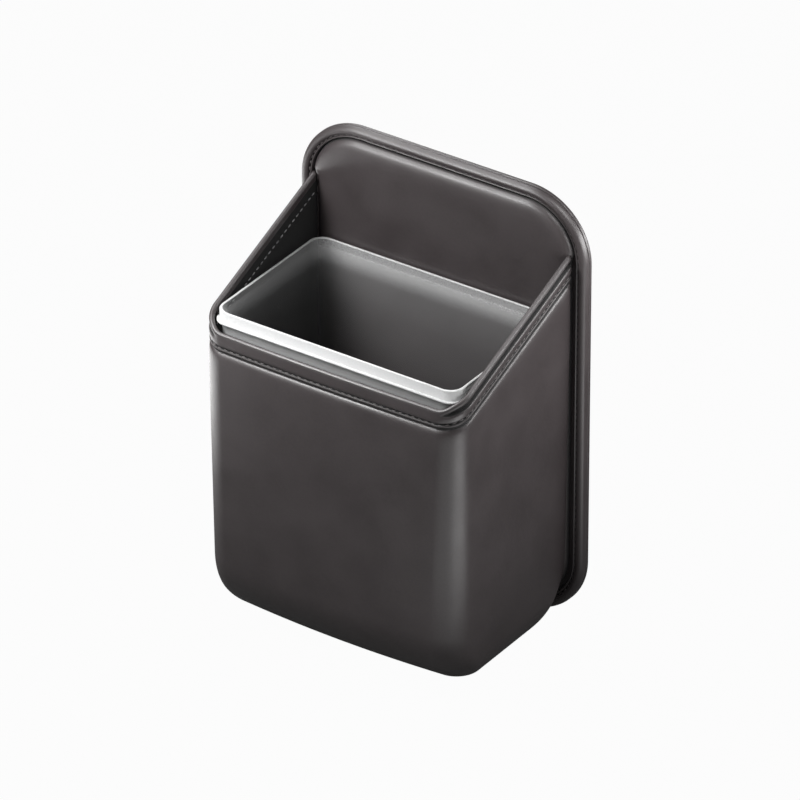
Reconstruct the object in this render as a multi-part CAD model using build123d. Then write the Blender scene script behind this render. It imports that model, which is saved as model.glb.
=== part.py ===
from build123d import *
import os
from math import cos, degrees, radians, tan

# Car trash bin: a tall padded back, a moulded pouch sewn to it and a clear bucket that stands inside.
# +Z is up, -Y is the front, and the origin is under the middle of the bin, on the surface it stands on.

# Back: a rear panel, a rolled rim round its edge and a raised centre cushion
overall_height = 260.0
overall_depth = 115.0
board_width = 183.0
board_corner = 37.0
foot_gap = 0.4
panel_thickness = 2.9
panel_edge = 1.4
parting_edge = 0.5
rim_width = 8.8
rim_height = 4.3
rim_roll = 3.4
rim_shoulder = 1.6
cushion_base = 2.9
cushion_crown = 3.4
cushion_shoulder = 2.6
seam_gap = 0.3

# Pouch: shell and lining in one rounded form, with a folded band over the slanted top edge
shell_thickness = 2.0
lining_thickness = 1.0
glue_gap = 0.1
pouch_draft = 0.7
pouch_corner = 14.0
pouch_bottom_radius = 34.0
front_bow = 2.0
side_slope = 23.3
side_lap = 5.0
band_height = 10.3
band_skin = 0.9
band_roll = 1.3

# Bucket: tapered walls, a stepped collar and a flange under the collar
liner_wall = 1.4
liner_rise = 9.6
liner_side_gap = 0.5
liner_front_gap = 3.3
liner_back_gap = 0.6
liner_foot_gap = 0.2
liner_draft = 1.2
liner_corner = 8.0
liner_radius_step = 4.0
collar_height = 7.3
collar_step = 1.0
collar_lip = 4.6
flange_out = 1.1
flange_thickness = 1.2

# Places that follow from the sizes above
reach = 2 * overall_height
edge_margin = 1.0
steep = 25.0
upright = cos(radians(steep))
roll_limit = 0.45
back_y = overall_depth / 2
panel_y = back_y - panel_thickness
seat_y = panel_y - cushion_base
crown_y = seat_y - cushion_crown
front_y = -overall_depth / 2
wall = shell_thickness + glue_gap + lining_thickness
pouch_half = board_width / 2 - rim_width - seam_gap
bow_radius = (pouch_half**2 + front_bow**2) / (2 * front_bow)
side_top = overall_height - board_corner + side_lap
crest = side_top - (seat_y - front_y) * tan(radians(side_slope))
liner_foot = wall + liner_foot_gap
liner_top = crest + liner_rise
mouth_half = pouch_half - (side_top - crest) * tan(radians(pouch_draft))
collar_half = mouth_half - wall - liner_side_gap - flange_out
collar_front = front_y + wall + liner_front_gap + flange_out
collar_back = crown_y - liner_back_gap - flange_out


def board_outline(inset):
    """Face of the back's rounded outline, drawn in from its edge."""
    height = overall_height - foot_gap - 2 * inset
    outline = RectangleRounded(board_width - 2 * inset, height, board_corner - inset)
    return Plane.XZ * Pos(0, (overall_height + foot_gap) / 2) * outline


def board_layer(inset, rear, thickness):
    """Plate of that outline, from its rear face forwards."""
    return Pos(0, rear, 0) * extrude(board_outline(inset), thickness)


def rim_edges(solid, y, inner):
    """Edges of a plate's face at one depth, on the inner or the outer outline."""
    face = solid.faces().filter_by(Axis.Y).sort_by(lambda f: abs(f.center().Y - y))[0]
    return face.inner_wires()[0].edges() if inner else face.outer_wire().edges()


def back_panel():
    plate = board_layer(0, back_y, panel_thickness)
    plate = fillet(rim_edges(plate, back_y, False), panel_edge)
    return chamfer(rim_edges(plate, panel_y, False), parting_edge)


def back_rim():
    ring = board_layer(0, panel_y, rim_height) - board_layer(rim_width, panel_y, rim_height)
    ring = fillet(rim_edges(ring, panel_y - rim_height, False), rim_roll)
    ring = fillet(rim_edges(ring, panel_y - rim_height, True), rim_shoulder)
    return chamfer(rim_edges(ring, panel_y, False), parting_edge)


def top_cut(shift):
    """Everything above the pouch's slanted top edge, moved down square to that edge by shift."""
    lean = tan(radians(side_slope))
    drop = shift / cos(radians(side_slope))
    low = (front_y - reach, crest - drop - reach * lean)
    high = (seat_y + reach, side_top - drop + reach * lean)
    points = [low, high, (low[0], high[1])]
    return extrude(Plane.YZ * make_face(Polyline(*points, close=True)), reach, both=True)


def pouch_form(inset):
    """Solid of the pouch's form, drawn in from its outside, open upwards and run out past the back."""
    foot_half = pouch_half - side_top * tan(radians(pouch_draft))
    head_half = pouch_half + (overall_height - side_top) * tan(radians(pouch_draft))
    sides = Polyline(
        (inset - foot_half, inset),
        (foot_half - inset, inset),
        (head_half - inset, overall_height),
        (inset - head_half, overall_height),
        close=True,
    )
    front = FilletPolyline(
        (front_y + inset, overall_height),
        (front_y + inset, inset),
        (back_y, inset),
        radius=pouch_bottom_radius - inset,
    )
    rear = Polyline((back_y, inset), (back_y, overall_height), (front_y + inset, overall_height))
    bow_axis = Axis((0, front_y + bow_radius, 0), (0, 0, 1))
    half_turn = degrees(board_width / bow_radius)
    profile = Plane.YZ * make_face([front, rear])
    body = revolve(profile.rotate(bow_axis, -half_turn), bow_axis, 2 * half_turn)
    body &= extrude(Plane.XZ * make_face(sides), reach, both=True)
    cheeks = body.faces().filter_by(lambda f: abs(f.normal_at().X) > upright)
    rounded = [e for e in cheeks.edges() if e.center().Y < back_y - edge_margin]
    rounded = [e for e in rounded if e.center().Z < overall_height - edge_margin]
    return fillet(rounded, pouch_corner - inset) - rear_heel(inset)


def rear_heel(inset):
    """The corner under the pouch that its rounded rear edge leaves free."""
    heel_y = seat_y - pouch_bottom_radius
    behind = (Align.CENTER, Align.MIN, Align.MIN)
    block = Pos(0, heel_y, 0) * Box(reach, reach, pouch_bottom_radius, align=behind)
    roll = Cylinder(pouch_bottom_radius - inset, reach, rotation=(0, 90, 0))
    return block - Pos(0, heel_y, pouch_bottom_radius) * roll


def front_of_seat():
    """Everything in front of the channel floor that the pouch's walls stand on."""
    return Pos(0, seat_y, 0) * Box(reach, reach, reach, align=(Align.CENTER, Align.MAX, Align.CENTER))


def pouch_layer(outer, inner, band_side):
    """One layer of the pouch's wall, thinned by the folded band along its top."""
    layer = (pouch_form(outer) - pouch_form(inner)) & front_of_seat()
    layer -= top_cut(band_skin)
    return layer - (band_side & top_cut(band_height))


def pouch_shell():
    outside = pouch_form(0) - pouch_form(band_skin)
    return pouch_layer(0, shell_thickness, outside)


def pouch_lining():
    inside = pouch_form(wall - band_skin) - pouch_form(wall)
    return pouch_layer(shell_thickness + glue_gap, wall, inside)


def hem_band():
    whole = (pouch_form(0) - pouch_form(wall)) & front_of_seat()
    whole = (whole - top_cut(0)) & top_cut(band_height)
    crown = whole.faces().sort_by(lambda f: f.center().Z - f.center().Y * tan(radians(side_slope)))[-1]
    rolled = [e for e in crown.edges() if e.center().Y < seat_y - edge_margin]
    core = (pouch_form(band_skin) - pouch_form(wall - band_skin)) - top_cut(band_skin)
    return fillet(rolled, min(band_roll, roll_limit * wall)) - core


def back_cushion():
    base = board_layer(rim_width + seam_gap, panel_y, cushion_base)
    crown = board_layer(rim_width + seam_gap, seat_y, cushion_crown)
    crown = fillet(rim_edges(crown, crown_y, False), cushion_shoulder)
    walls = (pouch_form(-seam_gap) - top_cut(-seam_gap)) - pouch_form(wall + seam_gap)
    return base + (crown - walls)


def bucket(inset, floor):
    """Solid of the bucket's tapered body, drawn in from its outside."""
    top = liner_top - collar_height
    lean = (top - liner_foot) * tan(radians(liner_draft))
    half = collar_half - collar_step - inset
    front = collar_front + collar_step + inset
    back = collar_back - collar_step - inset
    radius = pouch_bottom_radius - wall - liner_radius_step - inset
    corners = [(front, top), (front + lean, floor), (back - lean, floor), (back, top)]
    profile = FilletPolyline(*corners, radius=radius)
    mouth = Line(corners[-1], corners[0])
    body = extrude(Plane.YZ * make_face([profile, mouth]), reach, both=True)
    sides = Polyline((lean - half, floor), (half - lean, floor), (half, top), (-half, top), close=True)
    body &= extrude(Plane.XZ * make_face(sides), reach, both=True)
    cheeks = body.faces().filter_by(lambda f: abs(f.normal_at().X) > upright)
    rounded = [e for e in cheeks.edges() if e.center().Z < top - edge_margin]
    return fillet(rounded, liner_corner - inset)


def collar_block(inset, bottom, top):
    """Rounded block of the collar's outline, drawn in from its outside."""
    middle = (collar_front + collar_back) / 2
    width = 2 * (collar_half - inset)
    depth = collar_back - collar_front - 2 * inset
    outline = RectangleRounded(width, depth, liner_corner - inset)
    return extrude(Pos(0, middle, bottom) * outline, top - bottom)


def liner():
    under = liner_top - collar_height
    lip = liner_top - collar_lip
    outside = bucket(0, liner_foot) + collar_block(0, under, liner_top)
    outside += collar_block(-flange_out, under, under + flange_thickness)
    inside = bucket(liner_wall, liner_foot + liner_wall)
    inside += collar_block(collar_step + liner_wall, under, lip)
    inside += collar_block(liner_wall, lip, liner_top)
    return outside - inside


nodes = {
    "back_panel": back_panel,
    "back_rim": back_rim,
    "back_cushion": back_cushion,
    "pouch_shell": pouch_shell,
    "pouch_lining": pouch_lining,
    "hem_band": hem_band,
    "liner": liner,
}
os.makedirs("parts", exist_ok=True)
for name, make in nodes.items():
    export_step(make(), f"parts/{name}.step")
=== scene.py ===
import bmesh
import bpy
import numpy as np
from mathutils import Matrix, Vector


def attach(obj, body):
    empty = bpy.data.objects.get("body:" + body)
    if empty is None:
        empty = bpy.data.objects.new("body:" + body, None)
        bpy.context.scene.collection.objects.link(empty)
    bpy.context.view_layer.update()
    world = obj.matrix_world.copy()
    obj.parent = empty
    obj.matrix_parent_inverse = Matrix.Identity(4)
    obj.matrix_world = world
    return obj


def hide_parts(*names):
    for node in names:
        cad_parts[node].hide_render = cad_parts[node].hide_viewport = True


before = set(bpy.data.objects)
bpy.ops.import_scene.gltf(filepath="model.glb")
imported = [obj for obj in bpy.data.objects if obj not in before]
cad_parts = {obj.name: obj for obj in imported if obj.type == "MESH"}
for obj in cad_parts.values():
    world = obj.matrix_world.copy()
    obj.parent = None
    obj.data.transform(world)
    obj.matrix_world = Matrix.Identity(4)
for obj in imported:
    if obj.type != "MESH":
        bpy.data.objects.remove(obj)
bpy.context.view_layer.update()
print("frame loaded")

# Sizes are in millimetres, as in the drawing, and become metres where a mesh is made
millimetre = 0.001


def easeIn(low, high, value):
    step = np.clip((np.asarray(value, dtype=float) - low) / (high - low), 0.0, 1.0)
    return step * step * (3.0 - 2.0 * step)


def smoothLine(points, steps, closed=False):
    # smooth curve through a few given points
    spots = np.array(points, dtype=float)
    if closed:
        spots = np.vstack([spots[-1:], spots, spots[:2]])
    else:
        spots = np.vstack([2 * spots[0] - spots[1], spots, 2 * spots[-1] - spots[-2]])
    along = np.linspace(0.0, 1.0, steps, endpoint=False)[:, None]
    runs = []
    for a, b, c, d in zip(spots[:-3], spots[1:-2], spots[2:-1], spots[3:]):
        bend = (c - a) * along + (2 * a - 5 * b + 4 * c - d) * along**2 + (3 * b - a - 3 * c + d) * along**3
        runs.append(b + 0.5 * bend)
    if not closed:
        runs.append(spots[-2:-1])
    return np.vstack(runs)


def gridFaces(rows, columns, wrapRows=False):
    # quads between rings of points, each ring closed on itself
    faces = []
    for row in range(rows if wrapRows else rows - 1):
        here = row * columns
        there = (row + 1) % rows * columns
        for column in range(columns):
            beside = (column + 1) % columns
            faces.append((here + column, here + beside, there + beside, there + column))
    return faces


def cappedFaces(rows, columns):
    # the same, with the first and the last ring closed by a face each
    faces = gridFaces(rows, columns)
    faces.append(tuple(range(columns)))
    faces.append(tuple(range((rows - 1) * columns, rows * columns)))
    return faces


def shrinkRing(ring, shares):
    # smaller copies of a ring about its middle
    middle = ring.mean(axis=0)
    return [middle + (ring - middle) * share for share in shares]


def makePiece(name, points, faces, material, paintedShade=None):
    # a mesh in metres; the painted-shade weight gives how deep each point lies in a stitched groove or
    # crease, from 0 to 1, and the leather is painted near black there as painted shade
    mesh = bpy.data.meshes.new(name)
    mesh.from_pydata((np.asarray(points) * millimetre).tolist(), [], faces)
    if paintedShade is not None:
        depths = mesh.attributes.new("paintedShade", "FLOAT", "POINT")
        depths.data.foreach_set("value", np.ravel(paintedShade).astype(np.float32))
    shape = bmesh.new()
    shape.from_mesh(mesh)
    bmesh.ops.recalc_face_normals(shape, faces=shape.faces)
    shape.to_mesh(mesh)
    shape.free()
    mesh.polygons.foreach_set("use_smooth", [True] * len(mesh.polygons))
    mesh.materials.append(material)
    piece = bpy.data.objects.new(name, mesh)
    bpy.context.scene.collection.objects.link(piece)
    return piece


def dress(piece, node):
    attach(piece, "root")
    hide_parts(node)


# Materials: noise detail for fine and for broad patterns, and the plain white of stage and air
fineDetail = 2.0
patchDetail = 3.0
white = (1.0, 1.0, 1.0, 1.0)


def newGroup(name, inputs, outputs):
    group = bpy.data.node_groups.new(name, "ShaderNodeTree")
    for label, value in inputs.items():
        socket = group.interface.new_socket(label, in_out="INPUT", socket_type="NodeSocketFloat")
        socket.default_value = value
    for label in outputs:
        group.interface.new_socket(label, in_out="OUTPUT", socket_type="NodeSocketFloat")
    return group, group.nodes.new("NodeGroupInput"), group.nodes.new("NodeGroupOutput")


def mathNode(tree, operation, first, second):
    node = tree.nodes.new("ShaderNodeMath")
    node.operation = operation
    for socket, value in zip(node.inputs, (first, second)):
        if isinstance(value, (int, float)):
            socket.default_value = value
        else:
            tree.links.new(value, socket)
    return node.outputs[0]


def rangeNode(tree, value, fromLow, fromHigh, toLow, toHigh):
    node = tree.nodes.new("ShaderNodeMapRange")
    tree.links.new(value, node.inputs["Value"])
    numbers = {"From Min": fromLow, "From Max": fromHigh, "To Min": toLow, "To Max": toHigh}
    for label, number in numbers.items():
        node.inputs[label].default_value = number
    return node.outputs["Result"]


def blendValues(tree, first, second, share):
    # share of the second value, the rest from the first
    most = mathNode(tree, "MULTIPLY", first, 1.0 - share)
    rest = mathNode(tree, "MULTIPLY", second, share)
    return mathNode(tree, "ADD", most, rest)


def noiseNode(tree, place, scale, detail):
    node = tree.nodes.new("ShaderNodeTexNoise")
    node.inputs["Detail"].default_value = detail
    tree.links.new(place, node.inputs["Vector"])
    if isinstance(scale, (int, float)):
        node.inputs["Scale"].default_value = scale
    else:
        tree.links.new(scale, node.inputs["Scale"])
    return node.outputs["Fac"]


grainLook = {
    "patchScale": 45.0,
    "fineScale": 2600.0,
    "speckScale": 700.0,
    "smoothness": 0.35,
    "fineShare": 0.25,
    "speckShare": 0.4,
}


def leatherGrainGroup():
    # pebbled grain, plus slow patches where the hide is a little darker or shinier
    scales = {"Pebble Scale": leatherLook["pebbles"]["back"], "Patch Scale": grainLook["patchScale"]}
    group, entry, result = newGroup("leatherGrain", scales, ["Height", "Tone", "Polish"])
    place = group.nodes.new("ShaderNodeTexCoord").outputs["Object"]
    pebbles = group.nodes.new("ShaderNodeTexVoronoi")
    pebbles.feature = "SMOOTH_F1"
    pebbles.inputs["Smoothness"].default_value = grainLook["smoothness"]
    group.links.new(place, pebbles.inputs["Vector"])
    group.links.new(entry.outputs["Pebble Scale"], pebbles.inputs["Scale"])
    fine = noiseNode(group, place, grainLook["fineScale"], fineDetail)
    domes = mathNode(group, "SUBTRACT", 1.0, pebbles.outputs["Distance"])
    height = blendValues(group, domes, fine, grainLook["fineShare"])
    patches = noiseNode(group, place, entry.outputs["Patch Scale"], patchDetail)
    specks = noiseNode(group, place, grainLook["speckScale"], fineDetail)
    tone = blendValues(group, patches, specks, grainLook["speckShare"])
    group.links.new(height, result.inputs["Height"])
    group.links.new(tone, result.inputs["Tone"])
    group.links.new(patches, result.inputs["Polish"])
    return group


def startMaterial(name):
    material = bpy.data.materials.new(name)
    material.use_nodes = True
    tree = material.node_tree
    return material, tree, tree.nodes["Principled BSDF"]


def placeGroup(tree, group, values):
    node = tree.nodes.new("ShaderNodeGroup")
    node.node_tree = group
    for label, value in values.items():
        node.inputs[label].default_value = value
    return node


def mixColours(tree, factor, low, high):
    node = tree.nodes.new("ShaderNodeMix")
    node.data_type = "RGBA"
    node.inputs["A"].default_value = (*low, 1.0)
    node.inputs["B"].default_value = (*high, 1.0)
    tree.links.new(factor, node.inputs["Factor"])
    return node.outputs["Result"]


def addBump(tree, height, strength, distance):
    node = tree.nodes.new("ShaderNodeBump")
    node.inputs["Strength"].default_value = strength
    node.inputs["Distance"].default_value = distance
    tree.links.new(height, node.inputs["Height"])
    return node.outputs["Normal"]


leatherLook = {
    "dark": (0.0430, 0.0352, 0.0362),
    "light": (0.0550, 0.0455, 0.0468),
    # colour of the painted shade that darkens grooves and creases
    "paintedShade": (0.0030, 0.0026, 0.0026),
    "seamDullness": 0.5,
    "rough": (0.39, 0.46),
    "specular": 1.0,
    "pebbles": {"back": 1300.0, "pouch": 1350.0},
    "toneRange": (0.35, 0.65),
    "polishRange": (0.3, 0.7),
    "grainDepth": 0.00006,
    "grainStrength": 0.35,
}


def leatherMaterial(name, grain, pebbleScale):
    material, tree, shader = startMaterial(name)
    hide = placeGroup(tree, grain, {"Pebble Scale": pebbleScale, "Patch Scale": grainLook["patchScale"]})
    tone = rangeNode(tree, hide.outputs["Tone"], *leatherLook["toneRange"], 0.0, 1.0)
    # painted shade: where the groove weight is high the colour is mixed towards near black, standing in for
    # shade in grooves and creases; the same weight also makes the leather duller
    groove = tree.nodes.new("ShaderNodeAttribute")
    groove.attribute_name = "paintedShade"
    colour = mixColours(tree, tone, leatherLook["dark"], leatherLook["light"])
    shaded = mixColours(tree, groove.outputs["Fac"], leatherLook["dark"], leatherLook["paintedShade"])
    tree.links.new(colour, shaded.node.inputs["A"])
    tree.links.new(shaded, shader.inputs["Base Color"])
    polish = rangeNode(tree, hide.outputs["Polish"], *leatherLook["polishRange"], *leatherLook["rough"])
    dull = mathNode(tree, "MULTIPLY", groove.outputs["Fac"], leatherLook["seamDullness"])
    tree.links.new(mathNode(tree, "ADD", polish, dull), shader.inputs["Roughness"])
    normal = addBump(tree, hide.outputs["Height"], leatherLook["grainStrength"], leatherLook["grainDepth"])
    tree.links.new(normal, shader.inputs["Normal"])
    shader.inputs["Specular IOR Level"].default_value = leatherLook["specular"]
    return material


liningLook = {
    "dark": (0.013, 0.0128, 0.013),
    "light": (0.026, 0.0255, 0.026),
    "rough": 0.8,
    "specular": 0.3,
    "weaveScale": 500.0,
    "distortion": 0.6,
    "patchScale": 60.0,
    "patchShare": 0.5,
    "bump": (0.4, 0.0001),
}


def liningMaterial():
    # fine woven cloth: two crossed sets of threads
    material, tree, shader = startMaterial("blackLining")
    place = tree.nodes.new("ShaderNodeTexCoord").outputs["Object"]
    threads = []
    for direction in ("X", "Z"):
        wave = tree.nodes.new("ShaderNodeTexWave")
        wave.bands_direction = direction
        wave.inputs["Scale"].default_value = liningLook["weaveScale"]
        wave.inputs["Distortion"].default_value = liningLook["distortion"]
        tree.links.new(place, wave.inputs["Vector"])
        threads.append(wave.outputs["Fac"])
    weave = mathNode(tree, "MULTIPLY", threads[0], threads[1])
    patches = noiseNode(tree, place, liningLook["patchScale"], patchDetail)
    tone = blendValues(tree, weave, patches, liningLook["patchShare"])
    colour = mixColours(tree, tone, liningLook["dark"], liningLook["light"])
    tree.links.new(colour, shader.inputs["Base Color"])
    tree.links.new(addBump(tree, weave, *liningLook["bump"]), shader.inputs["Normal"])
    shader.inputs["Roughness"].default_value = liningLook["rough"]
    shader.inputs["Specular IOR Level"].default_value = liningLook["specular"]
    return material


threadLook = {
    "leather": {"dark": (0.085, 0.076, 0.076), "light": (0.19, 0.175, 0.175)},
    "pale": {"dark": (0.26, 0.255, 0.26), "light": (0.50, 0.49, 0.50)},
    "rough": 0.6,
    "fibreScale": 2200.0,
    "bump": (0.4, 0.00008),
}


def threadMaterial(name, colours):
    material, tree, shader = startMaterial(name)
    place = tree.nodes.new("ShaderNodeTexCoord").outputs["Object"]
    fibres = noiseNode(tree, place, threadLook["fibreScale"], fineDetail)
    tree.links.new(mixColours(tree, fibres, colours["dark"], colours["light"]), shader.inputs["Base Color"])
    tree.links.new(addBump(tree, fibres, *threadLook["bump"]), shader.inputs["Normal"])
    shader.inputs["Roughness"].default_value = threadLook["rough"]
    return material


bucketLook = {
    "haze": ((0.68, 0.69, 0.69), (0.79, 0.79, 0.79)),
    "veil": [(0.0, 0.02), (0.45, 0.07), (0.80, 0.18), (0.915, 0.30), (0.945, 0.80), (0.966, 0.94)],
    "sides": 0.16,
    "behind": 0.33,
    "frontRange": (-0.047, -0.038),
    "behindRange": (0.036, 0.0455),
    "edgeRange": (0.1904, 0.1908),
    "edge": 0.8,
    "height": 0.191,
    "rough": (0.34, 0.44),
    "cloudScale": 35.0,
    "cloudRange": (0.3, 0.7),
    "frostScale": 900.0,
    "frost": (0.97, 1.03),
    "bending": 1.49,
}


def bucketMaterial():
    # hazy see-through plastic, clearer towards its foot and whiter at the thick collar; its front face is
    # painted far whiter and its back wall a little whiter than its sides, painted light where the front lamps
    # fall, and the steep ramp just under the collar paints light on the wall below the flange
    material, tree, shader = startMaterial("hazyPlastic")
    place = tree.nodes.new("ShaderNodeTexCoord").outputs["Object"]
    split = tree.nodes.new("ShaderNodeSeparateXYZ")
    tree.links.new(place, split.inputs[0])
    cloud = noiseNode(tree, place, bucketLook["cloudScale"], patchDetail)
    tree.links.new(mixColours(tree, cloud, *bucketLook["haze"]), shader.inputs["Base Color"])
    rough = rangeNode(tree, cloud, *bucketLook["cloudRange"], *bucketLook["rough"])
    tree.links.new(rough, shader.inputs["Roughness"])
    ramp = tree.nodes.new("ShaderNodeValToRGB")
    tree.links.new(rangeNode(tree, split.outputs["Z"], 0.0, bucketLook["height"], 0.0, 1.0), ramp.inputs[0])
    stops = ramp.color_ramp.elements
    while len(stops) < len(bucketLook["veil"]):
        stops.new(0.5)
    for stop, (level, strength) in zip(stops, bucketLook["veil"]):
        stop.position = level
        stop.color = (strength, strength, strength, 1.0)
    # painted light: the veil is strongest on the front face and a little stronger on the back wall than on
    # the sides, so these faces render whiter as if lit
    sides = bucketLook["sides"]
    front = rangeNode(tree, split.outputs["Y"], *bucketLook["frontRange"], 1.0, sides)
    behind = rangeNode(tree, split.outputs["Y"], *bucketLook["behindRange"], sides, bucketLook["behind"])
    paintedLightVeil = mathNode(tree, "MAXIMUM", front, behind)
    edge = rangeNode(tree, split.outputs["Z"], *bucketLook["edgeRange"], 0.0, bucketLook["edge"])
    veil = mathNode(tree, "MAXIMUM", mathNode(tree, "MULTIPLY", ramp.outputs[0], paintedLightVeil), edge)
    specks = noiseNode(tree, place, bucketLook["frostScale"], fineDetail)
    frosting = rangeNode(tree, specks, *bucketLook["cloudRange"], *bucketLook["frost"])
    tree.links.new(mathNode(tree, "MULTIPLY", veil, frosting), shader.inputs["Alpha"])
    shader.inputs["IOR"].default_value = bucketLook["bending"]
    return material


grain = leatherGrainGroup()
backLeather = leatherMaterial("taupeLeatherBack", grain, leatherLook["pebbles"]["back"])
pouchLeather = leatherMaterial("taupeLeatherPouch", grain, leatherLook["pebbles"]["pouch"])
blackLining = liningMaterial()
leatherThread = threadMaterial("leatherThread", threadLook["leather"])
paleThread = threadMaterial("paleThread", threadLook["pale"])
hazyPlastic = bucketMaterial()
print("materials ready")

# Back: rear panel, rolled rim and centre cushion, all drawn from one rounded outline
back = {
    "halfWidth": 91.5,
    "top": 260.0,
    "foot": 0.4,
    "corner": 38.0,
    "parting": 54.6,
    "smallestCorner": 3.0,
    "topShare": 0.88,
    "squeezeRange": (229.0, 223.0),
    "counts": (48, 26, 84, 26, 48, 26, 84, 26),
}


def backOutline(inset):
    # closed outline in x and z, clockwise from the top left as seen from the front
    radius = max(back["corner"] - inset, back["smallestCorner"])
    right = back["halfWidth"] - inset - radius
    high = back["top"] - inset * back["topShare"] - radius
    low = back["foot"] + inset + radius
    points = []
    middles = ((right, high, 90.0), (right, low, 0.0), (-right, low, -90.0), (-right, high, -180.0))
    starts = ((-right, high + radius), (right + radius, high), (right, low - radius), (-right - radius, low))
    ends = ((right, high + radius), (right + radius, low), (-right, low - radius), (-right - radius, high))
    for index in range(4):
        straight = np.linspace(0.0, 1.0, back["counts"][2 * index], endpoint=False)[:, None]
        points.append(np.array(starts[index]) * (1.0 - straight) + np.array(ends[index]) * straight)
        x, z, start = middles[index]
        turn = np.radians(np.linspace(start, start - 90.0, back["counts"][2 * index + 1], endpoint=False))
        points.append(np.column_stack([x + radius * np.cos(turn), z + radius * np.sin(turn)]))
    return np.vstack(points)


def backRing(inset, height, squeeze=0.0):
    # one ring at a height in front of the parting line
    outline = backOutline(inset)
    x = outline[:, 0] * (1.0 - squeeze * easeIn(*back["squeezeRange"], outline[:, 1]))
    return np.column_stack([x, np.full(len(x), back["parting"] - height), outline[:, 1]])


def fillTowardsMiddle(ring, shares, lift=0.0):
    # rings that shrink to the middle of a face, rising a little on the way
    rings = shrinkRing(ring, shares)
    for inner, share in zip(rings, shares):
        inner[:, 1] = ring[:, 1] - lift * (1.0 - share**2)
    return rings


rearPanelShape = {
    "edge": [(0.9, 0.0), (0.25, -0.15), (0.0, -0.7), (0.0, -1.5), (0.35, -2.3), (1.1, -2.8), (2.2, -2.9)],
    "fill": (0.97, 0.9, 0.75, 0.55, 0.3, 0.06),
    "steps": 5,
}


def buildRearPanel():
    edge = smoothLine(rearPanelShape["edge"], rearPanelShape["steps"])
    rings = [backRing(inset, height) for inset, height in edge]
    front = fillTowardsMiddle(rings[0], rearPanelShape["fill"])
    rear = fillTowardsMiddle(rings[-1], rearPanelShape["fill"])
    rings = front[::-1] + rings + rear
    faces = cappedFaces(len(rings), len(rings[0]))
    return makePiece("rearPanel", np.vstack(rings), faces, backLeather)


rimShape = {
    "profile": [
        (1.0, 0.05),
        (0.3, 0.25),
        (0.0, 0.9),
        (0.1, 1.9),
        (0.55, 3.0),
        (1.35, 3.8),
        (2.4, 4.2),
        (3.5, 4.2),
        (4.4, 3.9),
        (5.0, 3.3),
        (5.35, 2.2),
        (5.75, 2.6),
        (6.3, 3.2),
        (6.8, 3.05),
        (7.25, 2.3),
        (7.6, 1.2),
        (7.7, 0.3),
        (6.0, 0.05),
        (3.0, 0.05),
    ],
    "valley": 5.4,
    "valleyWidth": (0.45, 0.1),
    "valleyDepth": (3.2, 2.4),
    "innerEdge": (7.0, 7.5),
    "stitch": (5.38, 2.65),
    "steps": 4,
}


def buildRim():
    profile = smoothLine(rimShape["profile"], rimShape["steps"], closed=True)
    inset, height = profile.T
    rings = [backRing(*spot) for spot in profile]
    # painted shade: near-black leather along the stitch valley and on the rim's inner edge by the cushion
    # groove, standing in for shade in these grooves
    valley = easeIn(*rimShape["valleyWidth"], np.abs(inset - rimShape["valley"]))
    valley = valley * easeIn(*rimShape["valleyDepth"], height)
    paintedShade = np.maximum(valley, easeIn(*rimShape["innerEdge"], inset))
    columns = len(rings[0])
    faces = gridFaces(len(rings), columns, wrapRows=True)
    return makePiece("backRim", np.vstack(rings), faces, backLeather, np.repeat(paintedShade, columns))


cushionShape = {
    "edge": [
        (12.0, 0.05),
        (9.2, 0.05),
        (8.15, 0.4),
        (8.0, 1.3),
        (8.2, 2.3),
        (8.8, 3.5),
        (9.9, 4.55),
        (11.7, 5.35),
        (14.6, 5.9),
        (19.0, 6.2),
        (25.0, 6.3),
        (33.0, 6.35),
    ],
    "fill": (0.93, 0.84, 0.72, 0.58, 0.42, 0.26, 0.1),
    "squeeze": 0.030,
    "crown": 0.1,
    "swell": 1.0,
    "swellBehindBucket": 0.15,
    "bucketTop": (194.0, 208.0),
    "coverStep": 8,
    "pressure": 4.0,
    "frames": 20,
    "paintedShadeRange": (3.6, 2.0),
    "steps": 4,
}


def swellCover(ring):
    # the cover between the seams, blown up by a short cloth run with its sewn edge held
    scene = bpy.context.scene
    step = cushionShape["coverStep"]
    coarse = ring[::step]
    rings = [coarse] + fillTowardsMiddle(coarse, cushionShape["fill"])
    columns = len(coarse)
    points = np.vstack(rings)
    faces = gridFaces(len(rings), columns)
    faces.append(tuple(range(len(points) - columns, len(points))))
    cover = makePiece("cushionCover", points, faces, backLeather)
    cover.vertex_groups.new(name="sewnEdge").add(list(range(columns)), 1.0, "REPLACE")
    cloth = cover.modifiers.new("cover", "CLOTH")
    cloth.settings.vertex_group_mass = "sewnEdge"
    cloth.settings.use_pressure = True
    cloth.settings.uniform_pressure_force = cushionShape["pressure"]
    cloth.settings.effector_weights.gravity = 0.0
    for number in range(1, cushionShape["frames"] + 1):
        scene.frame_set(number)
    blown = cover.evaluated_get(bpy.context.evaluated_depsgraph_get()).data
    moved = np.empty(3 * len(points))
    blown.vertices.foreach_get("co", moved)
    swell = np.abs(moved.reshape(-1, 3)[:, 1] / millimetre - points[:, 1])
    swell = swell.reshape(len(rings), columns)
    scene.frame_set(1)
    mesh = cover.data
    bpy.data.objects.remove(cover)
    bpy.data.meshes.remove(mesh)
    places = np.arange(len(ring)) / step
    spots = np.arange(columns)
    return [np.interp(places, spots, row, period=columns) / swell.max() for row in swell[1:]]


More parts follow.
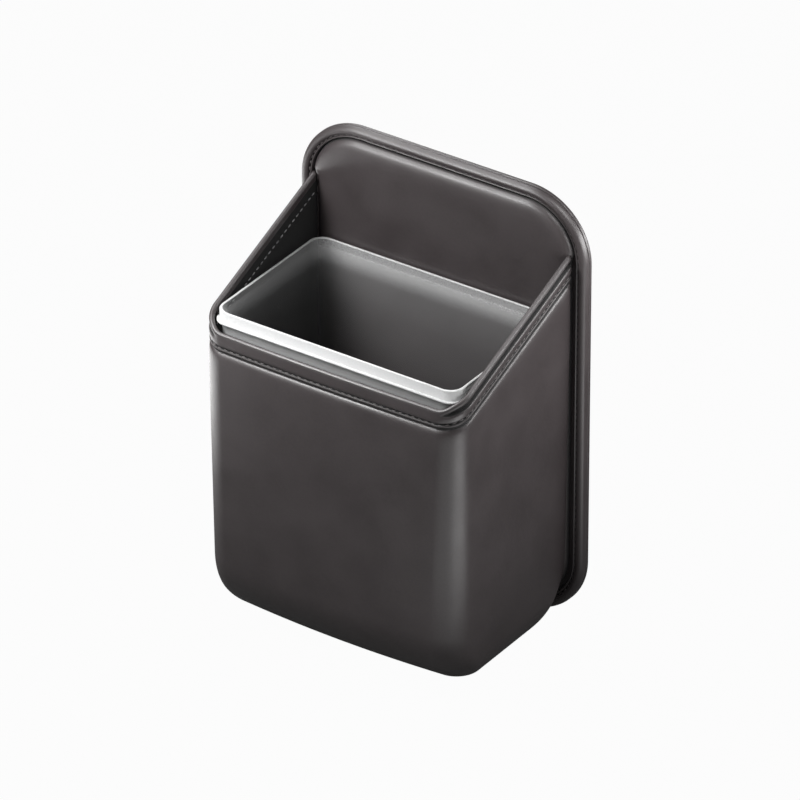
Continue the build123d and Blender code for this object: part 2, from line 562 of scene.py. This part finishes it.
def buildCushion():
    edge = smoothLine(cushionShape["edge"], cushionShape["steps"])
    rings = [backRing(inset, height, cushionShape["squeeze"]) for inset, height in edge]
    rear = fillTowardsMiddle(rings[0], cushionShape["fill"])
    front = fillTowardsMiddle(rings[-1], cushionShape["fill"], cushionShape["crown"])
    behind = cushionShape["swellBehindBucket"]
    for ring, share in zip(front, swellCover(rings[-1])):
        free = easeIn(*cushionShape["bucketTop"], ring[:, 2])
        ring[:, 1] -= share * (behind + (cushionShape["swell"] - behind) * free)
    rings = rear[::-1] + rings + front
    points = np.vstack(rings)
    # painted shade: the cushion's foot down in the groove by the rim is painted near black, standing in for
    # shade there
    paintedShade = easeIn(*cushionShape["paintedShadeRange"], back["parting"] - points[:, 1])
    return makePiece("backCushion", points, cappedFaces(len(rings), len(rings[0])), backLeather, paintedShade)


rearPanel = buildRearPanel()
dress(rearPanel, "back_panel")
backRim = buildRim()
dress(backRim, "back_rim")
backCushion = buildCushion()
dress(backCushion, "back_cushion")
print("back built")

# Pouch: one moulded form gives the shell, the lining and the folded hem
pouch = {
    "level": 177.3,
    "halfTop": 83.07,
    "halfLow": 81.0,
    "frontTop": -56.3,
    "frontLow": -55.2,
    "bowTop": 1.6,
    "bowLow": 4.3,
    "cornerTop": 14.4,
    "cornerLow": 15.6,
    "rear": 51.6,
    "rearCorner": 1.0,
    "frontRoll": 39.9,
    "sideRoll": 20.8,
    "rearRoll": 40.5,
    "edgeHeight": 192.2,
    "edgeAt": -33.1,
    "edgeSlope": 0.4067,
    "frontDip": 2.7,
    "dipRange": (0.0, 0.9),
    "edgeSample": 183.0,
    "riseLimit": 1.04,
    "heelRange": (44.0, 34.0),
    "heelTop": 41.0,
    "heelCorner": 7.0,
    "heelCornerRange": (40.0, 0.0),
    "cornerEase": 0.6,
    "smallestCorner": 2.0,
    "wallFoot": 46.0,
    "bottomShares": (0.8, 0.55, 0.3, 0.1),
    "counts": {"rear": 16, "rearCorner": 6, "side": 64, "corner": 24, "front": 34},
}


def pouchParameters():
    # kind, share and side of each point round the pouch, from the middle of its rear round by the right
    kinds, shares, sides = [], [], []
    order = list(pouch["counts"])
    for side, run in ((1.0, order), (-1.0, order[::-1])):
        for kind in run:
            count = pouch["counts"][kind]
            start, end = (0.0, 1.0) if side > 0.0 else (1.0, 0.0)
            kinds += [kind] * count
            shares += np.linspace(start, end, count, endpoint=False).tolist()
            sides += [side] * count
    return np.array(kinds), np.array(shares), np.array(sides)


pointKind, pointShare, pointSide = pouchParameters()
isRear = (pointKind == "rear") | (pointKind == "rearCorner")
sideness = np.select(
    [pointKind == "front", pointKind == "corner"],
    [np.zeros(len(pointKind)), np.cos(np.radians(90.0 * pointShare))],
    np.ones(len(pointKind)),
)


def rollInset(height, radius):
    low = np.clip(1.0 - height / radius, 0.0, 1.0)
    return radius * (1.0 - np.sqrt(1.0 - low * low))


def between(low, high, share):
    return pouch[low] + (pouch[high] - pouch[low]) * share


def pouchPoints(height, inset, floor=0.0):
    # points of the form at the given heights, drawn in by an inset, one for each point of the ring
    height = height * np.ones(len(pointKind))
    inset = inset * np.ones(len(pointKind))
    rise = np.clip(height / pouch["level"], 0.0, pouch["riseLimit"])
    above = height - floor
    atSide = rollInset(above, pouch["sideRoll"] - floor)
    atFront = rollInset(above, pouch["frontRoll"] - floor)
    half = between("halfLow", "halfTop", rise) - atSide - inset
    front = between("frontLow", "frontTop", rise) + atFront + inset
    heel = easeIn(*pouch["heelRange"], height)
    rear = pouch["rear"] - rollInset(above, pouch["rearRoll"] - floor) - inset * heel
    corner = between("cornerLow", "cornerTop", rise)
    corner = corner - pouch["cornerEase"] * np.minimum(atSide, atFront) - inset
    corner = np.maximum(corner, pouch["smallestCorner"])
    rearCorner = pouch["rearCorner"] + pouch["heelCorner"] * easeIn(*pouch["heelCornerRange"], height)
    bow = between("bowLow", "bowTop", rise)
    turn = np.radians(90.0 * pointShare)
    kinds = [pointKind == kind for kind in ("rear", "rearCorner", "side", "corner")]
    x = np.select(
        kinds,
        [
            pointShare * (half - rearCorner),
            half - rearCorner + rearCorner * np.sin(turn),
            half,
            half - corner + corner * np.cos(turn),
        ],
        (1.0 - pointShare) * (half - corner),
    )
    y = np.select(
        kinds,
        [
            rear,
            rear - rearCorner + rearCorner * np.cos(turn),
            rear - rearCorner + pointShare * (front + corner - rear + rearCorner),
            front + corner - corner * np.sin(turn),
        ],
        front,
    )
    bowed = (pointKind == "front") | (pointKind == "corner")
    y = y - np.where(bowed, bow * (1.0 - (x / half) ** 2), 0.0)
    return np.column_stack([x * pointSide, y, height])


edgeY = np.maximum(pouchPoints(pouch["edgeSample"], 0.0)[:, 1], pouch["frontTop"])
edgeLine = pouch["edgeHeight"] + pouch["edgeSlope"] * (edgeY - pouch["edgeAt"])
edgeLine = edgeLine - pouch["frontDip"] * (1.0 - easeIn(*pouch["dipRange"], sideness))
edgeStretch = np.sqrt(1.0 + (pouch["edgeSlope"] * sideness) ** 2)

hemShape = {
    "side": [
        (-2.35, -13.6),
        (-2.2, -12.25),
        (-1.1, -11.6),
        (-0.6, -10.95),
        (-0.7, -10.2),
        (-1.6, -9.4),
        (-0.8, -8.6),
        (-0.5, -7.4),
        (-0.4, -6.0),
        (-0.45, -5.2),
        (-0.75, -4.6),
        (-1.35, -4.05),
        (-2.1, -3.6),
        (-2.7, -3.3),
        (-2.9, -2.5),
        (-2.5, -1.9),
        (-1.4, -1.6),
        (-0.8, -1.1),
        (-0.6, -0.1),
        (-0.9, 0.85),
        (-1.6, 1.4),
        (-2.3, 1.45),
        (-3.0, 1.15),
        (-3.5, 0.5),
        (-3.6, -0.2),
        (-3.45, -1.0),
        (-3.25, -1.8),
        (-3.1, -3.2),
        (-2.85, -7.0),
        (-2.75, -12.0),
    ],
    "front": [
        (-2.35, -10.9),
        (-2.2, -9.6),
        (-1.1, -9.0),
        (-0.6, -8.35),
        (-0.7, -7.7),
        (-1.6, -6.95),
        (-0.8, -6.3),
        (-0.45, -5.4),
        (-0.35, -4.5),
        (-0.35, -3.9),
        (-0.36, -3.3),
        (-0.38, -2.8),
        (-0.4, -2.4),
        (-0.42, -2.0),
        (-0.45, -1.7),
        (-0.47, -1.4),
        (-0.5, -1.1),
        (-0.52, -0.6),
        (-0.62, 0.1),
        (-0.9, 0.85),
        (-1.6, 1.4),
        (-2.3, 1.45),
        (-3.0, 1.15),
        (-3.5, 0.5),
        (-3.6, -0.2),
        (-3.45, -1.0),
        (-3.25, -1.8),
        (-3.1, -3.0),
        (-2.85, -6.0),
        (-2.75, -9.5),
    ],
    "creaseAt": -2.2,
    "frontShare": 0.735,
    "groove": -12.3,
    "outside": 0.63,
    "sideRange": (0.15, 0.85),
    "paintedShadeRange": (-0.52, -1.0),
    "stitch": (-9.4, 1.2),
    "steps": 4,
}
hemColumns = np.flatnonzero(~isRear)  # from the right end of the pouch's edge round to the left end
bandShare = hemShape["frontShare"] + (1.0 - hemShape["frontShare"]) * easeIn(0.0, 1.0, sideness)


def belowEdge(drop):
    # height of a line that runs along the pouch's top edge, a square distance from the middle of its roll
    crease = hemShape["creaseAt"]
    shrunk = np.where(drop < crease, crease + (drop - crease) * bandShare, drop)
    return edgeLine + shrunk * edgeStretch


def shellMesh(name, outer, inner, keep, material, paintedShade=None):
    # two skins with the same layout, joined along every open edge
    rows, columns = outer.shape[:2]
    offset = rows * columns
    faces = []
    edges = {}
    for row in range(rows - 1):
        for column in range(columns):
            if not keep[row, column]:
                continue
            beside = (column + 1) % columns
            quad = [row * columns + column, row * columns + beside]
            quad += [(row + 1) * columns + beside, (row + 1) * columns + column]
            faces.append(tuple(quad))
            faces.append(tuple(offset + index for index in quad[::-1]))
            for start, end in zip(quad, quad[1:] + quad[:1]):
                if (end, start) in edges:
                    del edges[(end, start)]
                else:
                    edges[(start, end)] = True
    last = tuple(range((rows - 1) * columns, rows * columns))
    faces.append(last)
    faces.append(tuple(offset + index for index in last[::-1]))
    for start, end in edges:
        if start in last and end in last:
            continue
        faces.append((start, offset + start, offset + end, end))
    points = np.vstack([outer.reshape(-1, 3), inner.reshape(-1, 3)])
    piece = makePiece(name, points, faces, material, paintedShade)
    shape = bmesh.new()
    shape.from_mesh(piece.data)
    bmesh.ops.delete(shape, geom=[v for v in shape.verts if not v.link_faces], context="VERTS")
    shape.to_mesh(piece.data)
    shape.free()
    return piece


def wallRows(tops, floor, counts):
    # heights of a wall's rows from its top line down to its rounded bottom
    foot = pouch["wallFoot"]
    rows = list(tops)
    for share in np.linspace(0.0, 1.0, counts[0] + 1)[1:]:
        rows.append(tops[-1] + (foot - tops[-1]) * share)
    for turn in np.linspace(0.0, 0.5 * np.pi, counts[1] + 1)[1:]:
        rows.append(np.full(len(pointKind), floor + (foot - floor) * (1.0 - np.sin(turn))))
    return rows


def closeBottom(rows):
    return np.array(rows + shrinkRing(rows[-1], pouch["bottomShares"]))


def raiseFloor(heights, low, high):
    # the same heights, lifted below the foot of the straight wall, for the inner skin
    foot = pouch["wallFoot"]
    return [np.where(row < foot, high + (row - low) * (foot - high) / (foot - low), row) for row in heights]


def keepMask(rows):
    # the rear is open above the heel, where the back closes the pouch
    heights = rows[:-1, :, 2]
    keep = np.ones(heights.shape, dtype=bool)
    openColumn = isRear & np.roll(isRear, -1)
    keep[:, openColumn] = heights[:, openColumn] < pouch["heelTop"]
    return keep


shellShape = {
    "puff": [
        (-0.5, -2.9),
        (0.05, -2.75),
        (0.4, -2.3),
        (0.85, -1.72),
        (1.45, -1.14),
        (2.25, -0.68),
        (3.4, -0.35),
        (5.0, -0.14),
        (7.2, -0.02),
        (11.0, 0.01),
        (20.0, 0.0),
    ],
    "steps": 3,
    "rows": (44, 30),
    "paintedShadeFrom": -1.9,
    "paintedShadeSides": 1.1,
    "paintedShadeOver": 0.7,
    "thickness": 1.5,
    "innerGap": 0.1,
    "rearTuck": 1.4,
    "innerTuck": 0.2,
    "tuckRange": (48.2, 51.6),
    "tuckSample": 150.0,
}


def buildShell():
    lines = smoothLine(shellShape["puff"], shellShape["steps"])
    depth = pouchPoints(shellShape["tuckSample"], 0.0)[:, 1]
    tuck = shellShape["rearTuck"] * easeIn(*shellShape["tuckRange"], depth) * (sideness > 0.5)
    tops = [belowEdge(hemShape["groove"]) - down * edgeStretch for down, out in lines]
    swell = [out for down, out in lines]
    heights = wallRows(tops, 0.0, shellShape["rows"])
    swell += [0.0] * (len(heights) - len(swell))
    outer = closeBottom([pouchPoints(height, tuck - out) for height, out in zip(heights, swell)])
    floor = shellShape["thickness"]
    inset = floor + shellShape["innerGap"] + tuck * shellShape["innerTuck"]
    inner = closeBottom([pouchPoints(height, inset, floor) for height in raiseFloor(heights, 0.0, floor)])
    # painted shade: the puffed edge is painted near black down in the groove under the hem, and further out
    # along the sides, where it also dims the highlight
    paintedShade = np.zeros((2, *outer.shape[:2]))
    paintedShadeTop = shellShape["paintedShadeFrom"] + shellShape["paintedShadeSides"] * sideness
    for row, out in enumerate(swell):
        paintedShade[:, row] = easeIn(0.0, 1.0, (paintedShadeTop - out) / shellShape["paintedShadeOver"])
    return shellMesh("pouchShell", outer, inner, keepMask(outer), pouchLeather, paintedShade)


liningShape = {
    "edge": [
        (-1.3, 2.75),
        (-1.9, 2.72),
        (-2.8, 2.95),
        (-4.5, 3.2),
        (-7.0, 3.22),
        (-8.6, 3.1),
        (-9.2, 3.0),
        (-9.8, 3.1),
        (-11.4, 3.18),
        (-15.0, 3.15),
    ],
    "outer": 2.1,
    "inner": 3.15,
    "rows": (30, 20),
    "stitch": (-9.2, 3.2),
}


def buildLining():
    floor, deepest = liningShape["outer"], liningShape["inner"]
    tops = [belowEdge(drop) for drop, depth in liningShape["edge"]]
    inset = [depth for drop, depth in liningShape["edge"]]
    heights = wallRows(tops, floor, liningShape["rows"])
    inset += [deepest] * (len(heights) - len(inset))
    outer = closeBottom([pouchPoints(height, floor, floor) for height in heights])
    lifted = raiseFloor(heights, floor, deepest)
    inner = closeBottom([pouchPoints(height, depth, deepest) for height, depth in zip(lifted, inset)])
    return shellMesh("pouchLining", outer, inner, keepMask(outer), blackLining)


def buildHem():
    # the folded edge is flat along the front and creased along the sides
    alongSide = smoothLine(hemShape["side"], hemShape["steps"], closed=True)
    alongFront = smoothLine(hemShape["front"], hemShape["steps"], closed=True)
    weight = easeIn(*hemShape["sideRange"], sideness)
    outside = len(alongSide) * hemShape["outside"]
    rings, paintedShade = [], []
    for row, (side, front) in enumerate(zip(alongSide, alongFront)):
        out, drop = (front[axis] + (side[axis] - front[axis]) * weight for axis in (0, 1))
        rings.append(pouchPoints(edgeLine + drop * edgeStretch, -out)[hemColumns])
        # painted shade: the outer rows are painted near black where the face dips into the crease, the stitch
        # valley and the groove
        depth = easeIn(*hemShape["paintedShadeRange"], out) if row < outside else np.zeros(len(out))
        paintedShade.append(depth[hemColumns])
    rings = np.array(rings).transpose(1, 0, 2)
    paintedShade = np.array(paintedShade).transpose()
    faces = cappedFaces(*rings.shape[:2])
    return makePiece("hemBand", rings.reshape(-1, 3), faces, pouchLeather, paintedShade)


pouchShell = buildShell()
dress(pouchShell, "pouch_shell")
pouchLining = buildLining()
dress(pouchLining, "pouch_lining")
hemBand = buildHem()
dress(hemBand, "hem_band")
print("pouch built")

# Bucket: rounded rectangles lofted into a thin tapered wall with a stepped collar
bucket = {
    "top": 191.0,
    "half": 77.1,
    "front": -50.0,
    "back": 46.6,
    "corner": 8.0,
    "collar": 7.3,
    "lip": 4.6,
    "step": 1.0,
    "wall": 1.4,
    "flange": 1.1,
    "flangeThickness": 1.2,
    "foot": 3.4,
    "draft": 0.02095,
    "frontRoll": 26.9,
    "sideRoll": 8.0,
    "cornerEase": 0.6,
    "smallestCorner": 1.0,
    "flangeRound": (0.3, 0.25),
    "neckRound": (0.25, 0.2),
    "lipRound": (0.4, 0.12),
    "ledgeRound": (0.3, 0.25),
    "rows": (18, 26),
    "floorShares": (0.05, 0.25, 0.5, 0.75),
    "counts": (30, 14, 40, 14, 60, 14, 40, 14, 30),
}


def bucketRing(height, inset, floor=None):
    # one level of the bucket, drawn in from the collar's outline; below the collar it tapers and rounds off
    under = bucket["top"] - bucket["collar"]
    half = bucket["half"] - inset
    front = bucket["front"] + inset
    rear = bucket["back"] - inset
    radius = max(bucket["corner"] - max(inset - bucket["step"], 0.0), bucket["smallestCorner"])
    if floor is not None:
        lean = (under - height) * bucket["draft"]
        inner = floor - bucket["foot"]
        atSide = rollInset(height - floor, bucket["sideRoll"] - inner)
        atFront = rollInset(height - floor, bucket["frontRoll"] - inner)
        half -= lean + atSide
        front += lean + atFront
        rear -= lean + atFront
        radius = max(radius - bucket["cornerEase"] * min(atSide, atFront), bucket["smallestCorner"])
    corners = (
        (half - radius, rear - radius, 90.0),
        (half - radius, front + radius, 0.0),
        (radius - half, front + radius, -90.0),
        (radius - half, rear - radius, -180.0),
    )
    stops = [(0.0, rear), (half - radius, rear), (half, rear - radius), (half, front + radius)]
    stops += [(half - radius, front), (radius - half, front), (-half, front + radius), (-half, rear - radius)]
    stops += [(radius - half, rear), (0.0, rear)]
    points = []
    for index, count in enumerate(bucket["counts"]):
        share = np.linspace(0.0, 1.0, count, endpoint=False)[:, None]
        if index % 2:
            x, y, start = corners[index // 2]
            turn = np.radians(start - 90.0 * share)
            points.append(np.hstack([x + radius * np.cos(turn), y + radius * np.sin(turn)]))
        else:
            points.append(np.array(stops[index]) * (1.0 - share) + np.array(stops[index + 1]) * share)
    flat = np.vstack(points)
    return np.column_stack([flat, np.full(len(flat), height)])


def bucketWall(inset, floor):
    # rings of one face of the wall, from the middle of the floor up to the underside of the collar
    under = bucket["top"] - bucket["collar"]
    bend = bucket["frontRoll"] - (floor - bucket["foot"])
    bent, straight = bucket["rows"]
    heights = [floor + bend * (1.0 - np.sin(turn)) for turn in np.linspace(0.5 * np.pi, 0.0, bent)]
    heights += np.linspace(floor + bend, under, straight)[1:].tolist()
    rings = [bucketRing(height, inset, floor) for height in heights]
    return shrinkRing(rings[0], bucket["floorShares"]) + rings


def buildBucket():
    top = bucket["top"]
    under = top - bucket["collar"]
    lip = top - bucket["lip"]
    out = bucket["flange"]
    thick = under + bucket["flangeThickness"]
    wall = bucket["wall"]
    step = bucket["step"]
    flangeIn, flangeUp = bucket["flangeRound"]
    neckIn, neckUp = bucket["neckRound"]
    far, near = bucket["lipRound"]
    ledgeUp, ledgeIn = bucket["ledgeRound"]
    collar = [(under, flangeIn - out), (under + flangeUp, -out), (thick - flangeUp, -out)]
    collar += [(thick, flangeIn - out), (thick, -neckIn), (thick + neckUp, 0.0)]
    collar += [(top - far, 0.0), (top - near, near), (top, far)]
    collar += [(top, wall - far), (top - near, wall - near), (top - far, wall)]
    collar += [(lip + ledgeUp, wall), (lip, wall + ledgeIn)]
    collar += [(lip, wall + step - ledgeIn), (lip - ledgeIn, wall + step)]
    outside = bucketWall(step, bucket["foot"])
    inside = bucketWall(step + wall, bucket["foot"] + wall)
    rings = outside + [bucketRing(height, inset) for height, inset in collar] + inside[::-1]
    faces = cappedFaces(len(rings), len(rings[0]))
    return makePiece("clearBucket", np.vstack(rings), faces, hazyPlastic)


clearBucket = buildBucket()
dress(clearBucket, "liner")
print("bucket built")

# Stitches: short thread loops set along a line by one node tree
stitch = {"pitch": 4.0, "length": 2.6, "thickness": 0.75, "sides": 6, "rings": 5, "endPoints": 2}


def stitchTree():
    tree = bpy.data.node_groups.new("stitchRun", "GeometryNodeTree")
    tree.interface.new_socket("Geometry", in_out="INPUT", socket_type="NodeSocketGeometry")
    for label in ("Pitch", "Length", "Thickness"):
        tree.interface.new_socket(label, in_out="INPUT", socket_type="NodeSocketFloat")
    tree.interface.new_socket("Thread", in_out="INPUT", socket_type="NodeSocketMaterial")
    tree.interface.new_socket("Geometry", in_out="OUTPUT", socket_type="NodeSocketGeometry")
    entry = tree.nodes.new("NodeGroupInput")
    result = tree.nodes.new("NodeGroupOutput")
    line = tree.nodes.new("GeometryNodeMeshToCurve")
    spots = tree.nodes.new("GeometryNodeCurveToPoints")
    spots.mode = "LENGTH"
    loop = tree.nodes.new("GeometryNodeMeshUVSphere")
    loop.inputs["Segments"].default_value = stitch["sides"]
    loop.inputs["Rings"].default_value = stitch["rings"]
    loop.inputs["Radius"].default_value = 0.5
    size = tree.nodes.new("ShaderNodeCombineXYZ")
    shaped = tree.nodes.new("GeometryNodeTransform")
    soft = tree.nodes.new("GeometryNodeSetShadeSmooth")
    placed = tree.nodes.new("GeometryNodeInstanceOnPoints")
    real = tree.nodes.new("GeometryNodeRealizeInstances")
    finish = tree.nodes.new("GeometryNodeSetMaterial")
    join = tree.links.new
    join(entry.outputs["Geometry"], line.inputs["Mesh"])
    join(line.outputs["Curve"], spots.inputs["Curve"])
    join(entry.outputs["Pitch"], spots.inputs["Length"])
    join(entry.outputs["Thickness"], size.inputs["X"])
    join(entry.outputs["Thickness"], size.inputs["Y"])
    join(entry.outputs["Length"], size.inputs["Z"])
    join(loop.outputs["Mesh"], shaped.inputs["Geometry"])
    join(size.outputs["Vector"], shaped.inputs["Scale"])
    join(shaped.outputs["Geometry"], soft.inputs["Geometry"])
    join(spots.outputs["Points"], placed.inputs["Points"])
    join(spots.outputs["Rotation"], placed.inputs["Rotation"])
    join(soft.outputs["Geometry"], placed.inputs["Instance"])
    join(placed.outputs["Instances"], real.inputs["Geometry"])
    join(real.outputs["Geometry"], finish.inputs["Geometry"])
    join(entry.outputs["Thread"], finish.inputs["Material"])
    join(finish.outputs["Geometry"], result.inputs["Geometry"])
    return tree


stitchRun = stitchTree()


def sew(name, points, closed, thread):
    # a run of stitches along a line of points, made into a plain mesh
    line = np.asarray(points) * millimetre
    hops = np.diff(np.vstack([line, line[:1]]) if closed else line, axis=0)
    length = np.linalg.norm(hops, axis=1).sum()
    pitch = length / round(length / (stitch["pitch"] * millimetre))
    count = len(line)
    joins = [(index, (index + 1) % count) for index in range(count if closed else count - 1)]
    path = bpy.data.meshes.new(name + "Path")
    path.from_pydata(line.tolist(), joins, [])
    guide = bpy.data.objects.new(name + "Path", path)
    bpy.context.scene.collection.objects.link(guide)
    settings = {
        "Pitch": pitch,
        "Length": stitch["length"] * millimetre,
        "Thickness": stitch["thickness"] * millimetre,
        "Thread": thread,
    }
    modifier = guide.modifiers.new("stitches", "NODES")
    modifier.node_group = stitchRun
    for item in stitchRun.interface.items_tree:
        if item.in_out == "INPUT" and item.name in settings:
            modifier[item.identifier] = settings[item.name]
    graph = bpy.context.evaluated_depsgraph_get()
    mesh = bpy.data.meshes.new_from_object(guide.evaluated_get(graph))
    mesh.name = name
    bpy.data.objects.remove(guide)
    bpy.data.meshes.remove(path)
    piece = bpy.data.objects.new(name, mesh)
    bpy.context.scene.collection.objects.link(piece)
    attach(piece, "root")


def pouchLine(drop, inset):
    # a line round the pouch under its edge, a little short of both ends
    ends = stitch["endPoints"]
    return pouchPoints(belowEdge(drop), inset)[hemColumns][ends:-ends]


sew("rimStitches", backRing(*rimShape["stitch"]), True, leatherThread)
sew("hemStitches", pouchLine(*hemShape["stitch"]), False, leatherThread)
sew("liningStitches", pouchLine(*liningShape["stitch"]), False, paleThread)
print("stitches sewn")

# Stage: pale floor, soft lights and the camera of the photograph
stage = {"floorHalf": 6.0, "floorLevel": -0.0004, "seenGlow": 0.97, "mirroredGlow": 0.05, "paint": 0.10}


def buildFloor():
    mesh = bpy.data.meshes.new("floor")
    half = stage["floorHalf"]
    level = stage["floorLevel"]
    corners = [(x * half, y * half, level) for x, y in ((-1, -1), (1, -1), (1, 1), (-1, 1))]
    mesh.from_pydata(corners, [], [(0, 1, 2, 3)])
    floor = bpy.data.objects.new("floor", mesh)
    bpy.context.scene.collection.objects.link(floor)
    material = bpy.data.materials.new("paleFloor")
    material.use_nodes = True
    tree = material.node_tree
    tree.nodes.remove(tree.nodes["Principled BSDF"])
    paint = tree.nodes.new("ShaderNodeBsdfDiffuse")
    paint.inputs["Color"].default_value = (*[stage["paint"]] * 3, 1.0)
    glow = tree.nodes.new("ShaderNodeEmission")
    glow.inputs["Color"].default_value = white
    rays = tree.nodes.new("ShaderNodeLightPath")
    blend = tree.nodes.new("ShaderNodeMixShader")
    seen = mathNode(tree, "MULTIPLY", rays.outputs["Is Camera Ray"], stage["seenGlow"])
    mirrored = mathNode(tree, "MAXIMUM", rays.outputs["Is Glossy Ray"], rays.outputs["Is Transmission Ray"])
    share = mathNode(tree, "MAXIMUM", seen, mathNode(tree, "MULTIPLY", mirrored, stage["mirroredGlow"]))
    tree.links.new(share, blend.inputs[0])
    tree.links.new(paint.outputs[0], blend.inputs[1])
    tree.links.new(glow.outputs[0], blend.inputs[2])
    tree.links.new(blend.outputs[0], tree.nodes["Material Output"].inputs["Surface"])
    mesh.materials.append(material)


hangingLamps = {  # place, aim, size and power
    "key": ((-0.15, -0.222, 0.372), (0.0, -0.05, 0.17), (0.12, 0.12), 0.80),
    "overLeft": ((-0.266, -0.18, 0.645), (0.0, 0.0, 0.20), (0.25, 0.25), 1.55),
    "behindLeft": ((-0.266, 0.164, 0.727), (0.0, 0.05, 0.26), (0.25, 0.25), 0.95),
    "overRight": ((0.34, 0.05, 0.56), (0.08, 0.05, 0.24), (0.2, 0.2), 0.3),
    "behind": ((-0.28, 0.36, 0.46), (-0.03, 0.057, 0.26), (0.15, 0.15), 0.4),
    "front": ((-0.30, -0.52, 0.34), (0.0, -0.05, 0.17), (0.25, 0.35), 0.5),
    "right": ((0.22, 0.085, 0.245), (0.08, 0.03, 0.18), (0.24, 0.06), 0.44),
    "cornerRight": ((0.14, 0.01, 0.37), (0.085, 0.05, 0.25), (0.08, 0.08), 0.09),
}
floorLamps = {  # place, size, power and turn; they lie on the floor and shine up
    "stripLeft": ((-0.40, -0.03, 0.002), (0.28, 0.40), 1.37, 0.0),
    "stripNear": ((0.36, -0.12, 0.002), (0.36, 0.17), 0.45, -15.0),
    "stripFront": ((0.17, -0.27, 0.002), (0.34, 0.20), 0.14, -60.0),
}


def newLamp(name, place, size, power):
    light = bpy.data.lights.new(name, "AREA")
    light.shape = "RECTANGLE"
    light.size, light.size_y = size
    light.energy = power
    lamp = bpy.data.objects.new(name, light)
    lamp.location = place
    lamp.visible_camera = False
    bpy.context.scene.collection.objects.link(lamp)
    return lamp


def buildLamps():
    for name, (place, aim, size, power) in hangingLamps.items():
        lamp = newLamp(name, place, size, power)
        lamp.rotation_euler = (Vector(aim) - lamp.location).to_track_quat("-Z", "Y").to_euler()
    for name, (place, size, power, turn) in floorLamps.items():
        newLamp(name, place, size, power).rotation_euler = (np.pi, 0.0, np.radians(turn))


air = {"fill": 0.06, "mirrored": 0.14}


def buildWorld():
    world = bpy.data.worlds.new("studioAir")
    world.use_nodes = True
    tree = world.node_tree
    shade = tree.nodes["Background"]
    shade.inputs["Color"].default_value = white
    rays = tree.nodes.new("ShaderNodeLightPath")
    seen = mathNode(tree, "MAXIMUM", rays.outputs["Is Camera Ray"], rays.outputs["Is Transmission Ray"])
    mirrored = mathNode(tree, "MULTIPLY", rays.outputs["Is Glossy Ray"], air["mirrored"])
    strength = mathNode(tree, "MAXIMUM", mathNode(tree, "MAXIMUM", seen, mirrored), air["fill"])
    tree.links.new(strength, shade.inputs["Strength"])
    bpy.context.scene.world = world


view = {
    "turn": 34.455,
    "rise": 31.13,
    "scale": 1.896,
    "focal": 9500.0,
    "middle": (385.65, 313.63),
    "target": (0.0, -1.7, 190.55),
    "picture": 800.0,
    "sensor": 36.0,
    "clip": (0.1, 50.0),
}


def buildCamera():
    turn, rise = np.radians(view["turn"]), np.radians(view["rise"])
    right = Vector((np.cos(turn), np.sin(turn), 0.0))
    backward = Vector((np.sin(turn) * np.cos(rise), -np.cos(turn) * np.cos(rise), np.sin(rise)))
    upward = backward.cross(right)
    u, v = view["middle"]
    centre = view["picture"] / 2
    offset = right * (centre - u) + upward * (v - centre) + backward * view["focal"]
    place = Vector(view["target"]) + offset / view["scale"]
    data = bpy.data.cameras.new("camera")
    data.sensor_width = view["sensor"]
    data.lens = view["sensor"] * view["focal"] / view["picture"]
    data.clip_start, data.clip_end = view["clip"]
    camera = bpy.data.objects.new("camera", data)
    turned = Matrix((right, upward, backward)).transposed().to_4x4()
    camera.matrix_world = Matrix.Translation(place * millimetre) @ turned
    bpy.context.scene.collection.objects.link(camera)
    bpy.context.scene.camera = camera


buildFloor()
buildLamps()
buildWorld()
buildCamera()
bpy.context.scene.view_settings.view_transform = "Standard"
print("stage set")
